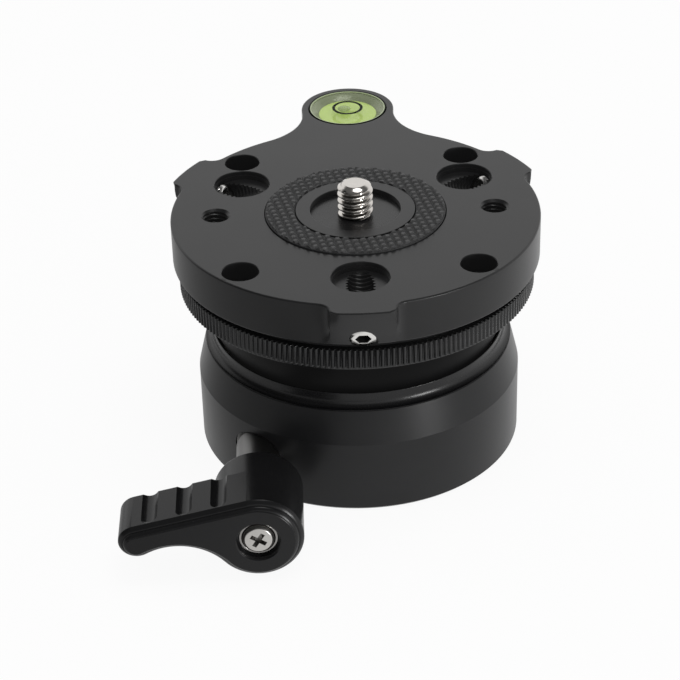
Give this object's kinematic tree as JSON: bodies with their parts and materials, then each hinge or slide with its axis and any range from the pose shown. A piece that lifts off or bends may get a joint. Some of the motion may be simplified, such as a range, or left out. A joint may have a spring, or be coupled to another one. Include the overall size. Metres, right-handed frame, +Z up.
{
  "type": "leveling base",
  "caption": "Half-ball leveling base with a round platform, a mounting stud with a rubber grip ring, a bubble level on a lobe and a side clamp lever.",
  "frame": {"origin": "on the drum's axis at its underside, at the mouth of the support thread", "axes": "+Z up along the drum's axis and the stud; +Y towards the lobe with the bubble level; the clamp lever is on the -Y side, towards -X"},
  "size_m": [0.0759, 0.1, 0.0501],
  "materials": {
    "black_anodised": "satin anodised, near black",
    "dark_anodised": "satin anodised, dark grey",
    "ball_black": "satin anodised, black",
    "seat_plastic": "matte, natural",
    "bright_steel": "turned, bright",
    "polished_steel": "polished",
    "spring_steel": "plain",
    "black_steel": "black oxide",
    "grip_rubber": "matte, fine raised pattern",
    "level_cup": "gloss",
    "level_liquid": "clear, yellow-green",
    "level_bubble": "clear",
    "level_line": "printed line",
    "level_cover": "clear, polished"
  },
  "bodies": {
    "base": {"base_housing": "black_anodised", "rim_ring": "black_anodised", "seat_ring": "seat_plastic", "thread_insert": "bright_steel", "center_bolt": "black_steel", "disc_springs": "spring_steel", "shaft_retainer": "black_steel"},
    "cap": {"hold_cap": "bright_steel"},
    "liner": {"ball_liner": "seat_plastic"},
    "ball": {"half_ball": "ball_black", "knurled_ring": "black_anodised", "platform": "dark_anodised", "platform_screws": "black_steel", "center_disc": "dark_anodised", "stud": "polished_steel", "friction_ring": "grip_rubber", "vial_cup": "level_cup", "vial_liquid": "level_liquid", "vial_bubble": "level_bubble", "target_ring": "level_line", "vial_lens": "level_cover"},
    "set_front": {"set_screw_front": "polished_steel"},
    "set_right": {"set_screw_right": "polished_steel"},
    "set_left": {"set_screw_left": "polished_steel"},
    "shaft": {"cam_shaft": "polished_steel", "lever_screw": "polished_steel"},
    "lever": {"lever_handle": "dark_anodised", "lever_insert": "bright_steel", "lever_spring": "spring_steel"},
    "shoe": {"brake_shoe": "bright_steel"}
  },
  "joints": [
    {"name": "tilt_direction", "type": "hinge", "parent": "base", "child": "cap", "pos_m": [0, 0, 0.034], "axis": [0, 0, 1], "continuous": true},
    {"name": "tilt", "type": "hinge", "parent": "cap", "child": "liner", "pos_m": [0, 0, 0.034], "axis": [1, 0, 0], "range_deg": [-15, 15]},
    {"name": "pan", "type": "hinge", "parent": "liner", "child": "ball", "pos_m": [0, 0, 0.034], "axis": [0, 0, 1], "continuous": true},
    {"name": "lever_swing", "type": "hinge", "parent": "base", "child": "shaft", "pos_m": [-0.0188, 0, 0.0083], "axis": [0, 1, 0], "range_deg": [0, 90]},
    {"name": "lever_pull", "type": "slide", "parent": "shaft", "child": "lever", "axis": [0, -1, 0], "range_m": [0, 0.002], "stiffness_N_per_m": 600, "springref_m": -0.001, "deforming": ["lever_spring"]},
    {"name": "shoe_slide", "type": "slide", "parent": "base", "child": "shoe", "axis": [0.5904, 0, 0.8071], "range_m": [-0.00032, 0]},
    {"name": "set_screw_front_travel", "type": "slide", "parent": "ball", "child": "set_front", "axis": [0, 0.8788, 0.4772], "range_m": [0, 0.0025]},
    {"name": "set_screw_right_travel", "type": "slide", "parent": "ball", "child": "set_right", "axis": [-0.7611, -0.4394, 0.4772], "range_m": [0, 0.0025]},
    {"name": "set_screw_left_travel", "type": "slide", "parent": "ball", "child": "set_left", "axis": [0.7611, -0.4394, 0.4772], "range_m": [0, 0.0025]}
  ],
  "couplings": [
    {"joint": "shoe_slide", "follows": "lever_swing", "m_per_rad": -0.00019099}
  ]
}
